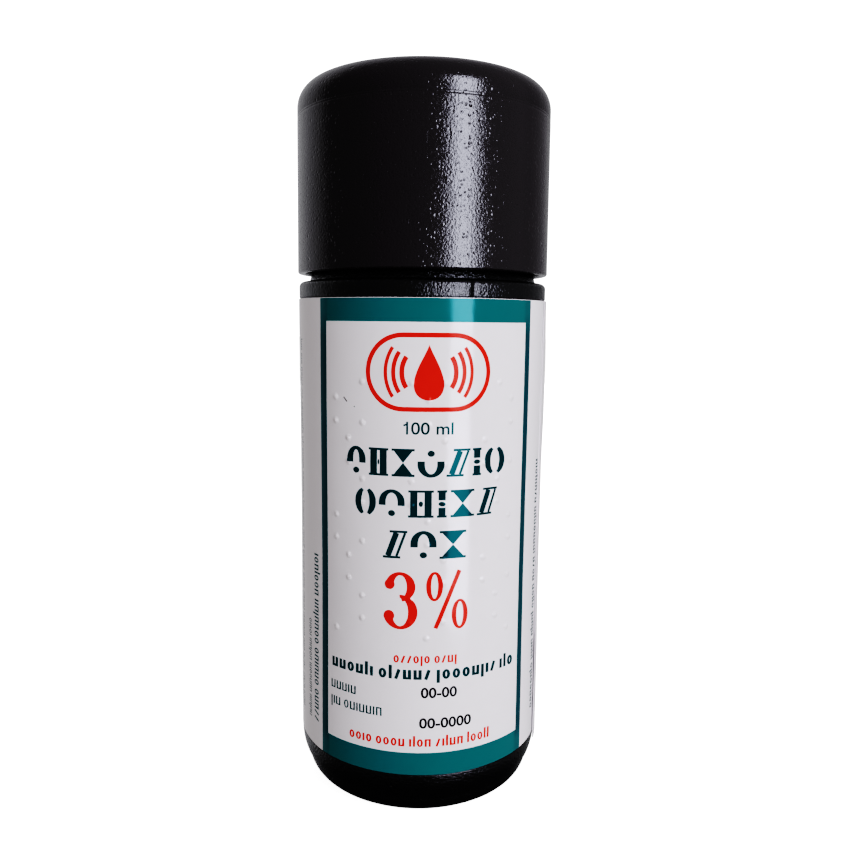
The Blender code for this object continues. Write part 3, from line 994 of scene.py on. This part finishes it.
def node(tree, kind, inputs, **settings):
    """Adds a shader node. An input is given a plain value or another node's output."""
    made = tree.nodes.new("ShaderNode" + kind)
    for key, value in settings.items():
        setattr(made, key, value)
    for key, value in inputs.items():
        if isinstance(value, bpy.types.NodeSocket):
            tree.links.new(value, made.inputs[key])
        else:
            made.inputs[key].default_value = value
    return made


def maths(tree, operation, a, b):
    return node(tree, "Math", {0: a, 1: b}, operation=operation).outputs[0]


def ranged(tree, value, low, high, to_low, to_high):
    inputs = {"Value": value, "From Min": low, "From Max": high, "To Min": to_low, "To Max": to_high}
    return node(tree, "MapRange", inputs).outputs["Result"]


def place_on(tree):
    """The place on the object, in metres."""
    return node(tree, "TexCoord", {}).outputs["Object"]


def along(tree, axis):
    return node(tree, "SeparateXYZ", {"Vector": place_on(tree)}).outputs[axis]


def noise(tree, size_mm, detail, stretch=None):
    """Noise from 0 to 1 whose features are about size_mm across."""
    where = place_on(tree)
    if stretch is not None:
        inputs = {0: where, 1: stretch}
        where = node(tree, "VectorMath", inputs, operation="MULTIPLY").outputs[0]
    inputs = {"Vector": where, "Scale": 1.0 / (size_mm * MM), "Detail": detail}
    return node(tree, "TexNoise", inputs).outputs["Fac"]


def spots(tree, spacing_mm, radius_mm, share):
    """Round spots, 1 at the centre and 0 outside, in a share of the cells of a random grid."""
    inputs = {"Vector": place_on(tree), "Scale": 1.0 / (spacing_mm * MM)}
    cells = node(tree, "TexVoronoi", inputs)
    inside = ranged(tree, cells.outputs["Distance"], 0.0, radius_mm / spacing_mm, 1.0, 0.0)
    drawn = node(tree, "SeparateColor", {"Color": cells.outputs["Color"]}).outputs[0]
    return maths(tree, "MULTIPLY", inside, maths(tree, "LESS_THAN", drawn, share))


def low_share(tree, low_z, high_z, at_low, at_high):
    """A value that runs from at_low at one height, in millimetres, to at_high at another."""
    return ranged(tree, along(tree, "Z"), low_z * MM, high_z * MM, at_low, at_high)


def total(tree, *parts):
    """The sum of (output, amount) pairs."""
    result = None
    for output, amount in parts:
        scaled = maths(tree, "MULTIPLY", output, amount)
        result = scaled if result is None else maths(tree, "ADD", result, scaled)
    return result


def tinted(tree, output, low_colour, high_colour):
    """A colour that runs from one to the other with an output from 0 to 1."""
    inputs = {0: output, 6: (*low_colour, 1.0), 7: (*high_colour, 1.0)}
    return node(tree, "Mix", inputs, data_type="RGBA").outputs[2]


def uneven(tree, size_mm, detail, low, high):
    """A roughness that wanders between two values."""
    return ranged(tree, noise(tree, size_mm, detail), 0.3, 0.7, low, high)


def new_material(name):
    material = bpy.data.materials.new(name)
    material.use_nodes = True
    return material, material.node_tree


def surface(material, heights_mm, colour, roughness, **constants):
    """Links relief in millimetres, colour and roughness. Constants go on the shader's own sockets."""
    tree = material.node_tree
    shader = tree.nodes["Principled BSDF"]
    bump = node(tree, "Bump", {"Height": heights_mm, "Distance": MM, "Strength": 1.0})
    tree.links.new(bump.outputs["Normal"], shader.inputs["Normal"])
    tree.links.new(colour, shader.inputs["Base Color"])
    tree.links.new(roughness, shader.inputs["Roughness"])
    for key, value in constants.items():
        shader.inputs[key].default_value = value
    return material


def scratches(tree):
    """A few hairlines that lean off the bottle's axis."""
    thin = ranged(tree, noise(tree, 0.35, 1.0, (1.0, 1.0, 0.045)), 0.745, 0.76, 0.0, 1.0)
    patches = ranged(tree, noise(tree, 6.0, 1.0), 0.55, 0.62, 0.0, 1.0)
    return maths(tree, "MULTIPLY", thin, patches)


def cap_plastic():
    """High-gloss polypropylene: fine orange peel, pits, dust specks and hairline scratches."""
    material, tree = new_material("cap_gloss_black")
    peel = total(
        tree,
        (noise(tree, 0.34, 2.0), 0.05),
        (spots(tree, 0.6, 0.22, 0.5), -0.045),
        (spots(tree, 1.6, 0.29, 0.5), -0.07),
    )
    graded = maths(tree, "MULTIPLY", peel, low_share(tree, CAP_LOW_Z, CAP_TOP_Z, 1.15, 0.75))
    heights = total(tree, (graded, 1.0), (noise(tree, 4.0, 1.0), 0.03), (scratches(tree), -0.006))
    dust = spots(tree, 2.6, 0.11, 0.2)
    colour = tinted(tree, dust, (0.0185, 0.0155, 0.018), (0.12, 0.12, 0.12))
    roughness = ranged(tree, noise(tree, 0.5, 2.0), 0.35, 0.65, 0.07, 0.2)
    return surface(material, heights, colour, roughness, IOR=1.5)


def bottle_plastic():
    """Blow-moulded polyethylene: a coarser, livelier orange peel than the cap's."""
    material, tree = new_material("bottle_black")
    heights = total(
        tree,
        (noise(tree, 0.36, 2.0, (1.0, 1.0, 0.85)), 0.13),
        (noise(tree, 3.0, 1.0), 0.05),
        (spots(tree, 1.1, 0.25, 0.4), -0.02),
    )
    dust = spots(tree, 2.3, 0.12, 0.22)
    colour = tinted(tree, dust, (0.004, 0.004, 0.0045), (0.12, 0.12, 0.118))
    return surface(material, heights, colour, uneven(tree, 1.5, 3.0, 0.17, 0.25), IOR=1.5)


def core_plastic():
    """Satin polypropylene of the threaded closure and the tamper ring."""
    material, tree = new_material("core_satin_black")
    heights = total(tree, (noise(tree, 0.4, 3.0), 0.01), (noise(tree, 2.5, 1.0), 0.02))
    colour = tinted(tree, noise(tree, 1.2, 3.0), (0.012, 0.012, 0.013), (0.02, 0.02, 0.022))
    return surface(material, heights, colour, uneven(tree, 0.9, 3.0, 0.38, 0.52), IOR=1.5)


def insert_plastic():
    """Milky, slightly waxy polyethylene."""
    material, tree = new_material("insert_milky")
    heights = total(tree, (noise(tree, 0.5, 2.0), 0.008), (noise(tree, 2.4, 1.0), 0.02))
    colour = tinted(tree, noise(tree, 2.0, 3.0), (0.72, 0.73, 0.71), (0.8, 0.81, 0.79))
    constants = {"Subsurface Weight": 0.25, "Subsurface Scale": 0.002, "IOR": 1.5}
    return surface(material, heights, colour, uneven(tree, 1.1, 3.0, 0.34, 0.48), **constants)


def seal_foam():
    """Closed-cell foam: fine open cells on its faces, with painted shade darkening their hollows."""
    material, tree = new_material("foam_white")
    cells = spots(tree, 0.28, 0.14, 0.8)
    heights = total(tree, (cells, -0.06), (noise(tree, 1.2, 3.0), 0.03))
    # Painted shade: the colour darkens inside the pitted cells.
    colour = tinted(tree, cells, (0.76, 0.76, 0.73), (0.58, 0.58, 0.55))
    return surface(material, heights, colour, uneven(tree, 0.6, 2.0, 0.75, 0.9), IOR=1.45)


def frame_uprights_share(tree):
    """A value that is 1 on the frame's uprights, where the teal is drawn darker, and 0 between them."""
    from_middle = maths(tree, "ABSOLUTE", maths(tree, "SUBTRACT", along(tree, "X"), 0.7 * MM), 0.0)
    upright = ranged(tree, from_middle, 15.6 * MM, 16.0 * MM, 0.0, 1.0)
    below_top = maths(tree, "MULTIPLY", upright, low_share(tree, 80.0, 84.0, 1.0, 0.3))
    return maths(tree, "MULTIPLY", below_top, low_share(tree, 11.5, 14.0, 0.3, 1.0))


# Material name, the two colours that it runs between, and the gloss's IOR and, in teal inks, its tint
INK_LOOKS = {
    PAPER: ("label_paper", (0.745, 0.725, 0.775), (0.775, 0.755, 0.805), 1.31),
    TEAL: ("ink_teal", (0.0, 0.123, 0.135), (0.0, 0.052, 0.064), 1.385, (0.4, 0.9, 1.0)),
    DARK: ("ink_dark_teal", (0.0, 0.035, 0.042), (0.0, 0.042, 0.05), 1.22, (0.1, 0.9, 1.0)),
    RED: ("ink_red", (0.665, 0.03, 0.014), (0.705, 0.037, 0.018), 1.14),
    BLACK: ("ink_black", (0.01, 0.01, 0.012), (0.016, 0.016, 0.02), 1.36),
}


def print_look(name, low, high, ior, tint=(1.0, 1.0, 1.0)):
    """Paper or ink under the clear film, with its short ripples.

    The colour runs from low to high with a cloudy noise, and in the frame it is darker on the uprights.
    """
    material, tree = new_material(name)
    heights = total(
        tree,
        (noise(tree, 7.0, 1.0), 0.05),
        (noise(tree, 1.3, 2.0), 0.006),
        (spots(tree, 3.4, 0.2, 0.3), 0.008),
    )
    cloud = noise(tree, 2.5, 4.0)
    if name == "ink_teal":
        cloud = total(tree, (cloud, 0.12), (frame_uprights_share(tree), 1.0))
    constants = {"IOR": ior, "Specular Tint": (*tint, 1.0)}
    colour = tinted(tree, cloud, low, high)
    return surface(material, heights, colour, uneven(tree, 3.0, 3.0, 0.1, 0.16), **constants)


# ---- stage

CAMERA_PLACE = (0.0, -144.56, 82.69)
CAMERA_PITCH_DEG = 7.32
CAMERA_YAW_DEG = 0.28
CAMERA_ROLL_DEG = 0.60
CAMERA_LENS = 34.16

# Name, distance, angle from the front, height, height aimed at, size, power and colour. Only gloss shows
# the window, which is tall. The others light only matt surfaces.
LIGHTS = (
    ("window", 700.0, 35.0, 125.0, 125.0, (250.0, 700.0), 8.0, (0.83, 0.85, 1.0)),
    ("key", 900.0, 35.0, 380.0, 60.0, (450.0, 450.0), 9.0, (0.985, 0.99, 1.02)),
    ("back_fill", 900.0, 180.0, 300.0, 60.0, (450.0, 450.0), 6.0, (0.99, 1.0, 1.03)),
)
FLOOR_HALF_M = 4.0
FLOOR_DROP = 0.02

# The tone curve of a phone camera, from scene light (white at 2) to shown light
WHITE_LEVEL = 2.0
TONE_CURVE = (
    (0.005, 0.001), (0.015, 0.004), (0.03, 0.0155), (0.05, 0.055),
    (0.0625, 0.094), (0.1, 0.19), (0.175, 0.37), (0.25, 0.5),
    (0.35, 0.62), (0.5, 0.745), (0.65, 0.84), (0.8, 0.92),
)


def make_camera():
    data = bpy.data.cameras.new("camera")
    data.lens = CAMERA_LENS
    data.sensor_width = 36.0
    data.clip_start = 0.01
    data.clip_end = 20.0
    camera = add_object("camera", data)
    camera.matrix_world = (
        Matrix.Translation(Vector(CAMERA_PLACE) * MM)
        @ Matrix.Rotation(math.radians(-CAMERA_YAW_DEG), 4, "Z")
        @ Matrix.Rotation(math.radians(90.0 - CAMERA_PITCH_DEG), 4, "X")
        @ Matrix.Rotation(math.radians(CAMERA_ROLL_DEG), 4, "Z")
    )
    bpy.context.scene.camera = camera


def make_lights():
    for name, distance, degrees, height, aim_z, size, power, colour in LIGHTS:
        data = bpy.data.lights.new(name, "AREA")
        data.shape = "RECTANGLE"
        data.size = size[0] * MM
        data.size_y = size[1] * MM
        data.energy = power
        data.color = colour
        light = add_object(name, data)
        light.location = at(distance, degrees, height)
        light.rotation_mode = "QUATERNION"
        ahead = Vector((0.0, 0.0, aim_z * MM)) - light.location
        light.rotation_quaternion = ahead.to_track_quat("-Z", "Y")
        light.visible_camera = False
        light.visible_glossy = name == "window"
        light.visible_diffuse = name != "window"


def background(tree, colour, strength):
    return node(tree, "Background", {"Color": (*colour, 1.0), "Strength": strength}).outputs[0]


def mixed(tree, share, first, second):
    return node(tree, "MixShader", {0: share, 1: first, 2: second}).outputs[0]


def make_world():
    """White to the camera, even light on matt surfaces, and in gloss a dim room with a brighter back."""
    world = bpy.data.worlds.new("studio")
    bpy.context.scene.world = world
    world.use_nodes = True
    tree = world.node_tree
    tree.nodes.clear()
    path = node(tree, "LightPath", {})
    where = node(tree, "TexCoord", {}).outputs["Generated"]
    split = node(tree, "SeparateXYZ", {"Vector": where})
    front = ranged(tree, split.outputs["X"], -0.9, 0.9, 0.2, 0.5)
    behind = ranged(tree, split.outputs["X"], -0.9, 0.9, 0.74, 0.3)
    backward = ranged(tree, split.outputs["Y"], 0.1, 0.28, 0.0, 1.0)
    upward = ranged(tree, split.outputs["Z"], -0.66, -0.46, 0.06, 1.0)
    level = node(tree, "Mix", {0: backward, 2: front, 3: behind}).outputs[0]
    room = background(tree, (0.96, 0.96, 1.0), maths(tree, "MULTIPLY", level, upward))
    fill = background(tree, (1.0, 0.955, 0.905), 0.37)
    white = background(tree, (1.0, 1.0, 1.0), 3.0)
    lit = mixed(tree, path.outputs["Is Glossy Ray"], fill, room)
    seen = mixed(tree, path.outputs["Is Camera Ray"], lit, white)
    node(tree, "OutputWorld", {"Surface": seen})


def set_tones():
    """Shows the scene through the tone curve."""
    view = bpy.context.scene.view_settings
    view.view_transform = "Standard"
    view.use_curve_mapping = True
    mapping = view.curve_mapping
    mapping.white_level = (WHITE_LEVEL, WHITE_LEVEL, WHITE_LEVEL)
    for light, shown in TONE_CURVE:
        mapping.curves[3].points.new(light, shown)
    mapping.update()


def make_floor():
    """A pale floor that glows faintly, so that only the contact shadow shows on it."""
    half = FLOOR_HALF_M
    mesh = bpy.data.meshes.new("floor")
    corners = [(-half, -half, 0.0), (half, -half, 0.0), (half, half, 0.0), (-half, half, 0.0)]
    mesh.from_pydata(corners, [], [(0, 1, 2, 3)])
    floor = add_object("floor", mesh)
    floor.location.z = -FLOOR_DROP * MM
    material, tree = new_material("floor_pale")
    shader = tree.nodes["Principled BSDF"]
    colour = tinted(tree, noise(tree, 40.0, 2.0), (0.86, 0.86, 0.86), (0.88, 0.88, 0.88))
    tree.links.new(colour, shader.inputs["Base Color"])
    shader.inputs["Roughness"].default_value = 0.9
    shader.inputs["Emission Color"].default_value = (1.0, 1.0, 1.0, 1.0)
    shader.inputs["Emission Strength"].default_value = 1.75
    mesh.materials.append(material)
    floor.visible_diffuse = False
    floor.visible_glossy = False
    floor.visible_shadow = False


def make_object():
    core = core_plastic()
    make_bottle(bottle_plastic())
    make_label({ink: print_look(*look) for ink, look in INK_LOOKS.items()})
    make_drip_plug(insert_plastic())
    make_washer(seal_foam())
    make_tamper_band(core)
    make_closure_core(core)
    make_cap_cover(cap_plastic())


set_tones()
make_object()
make_camera()
make_lights()
make_world()
make_floor()
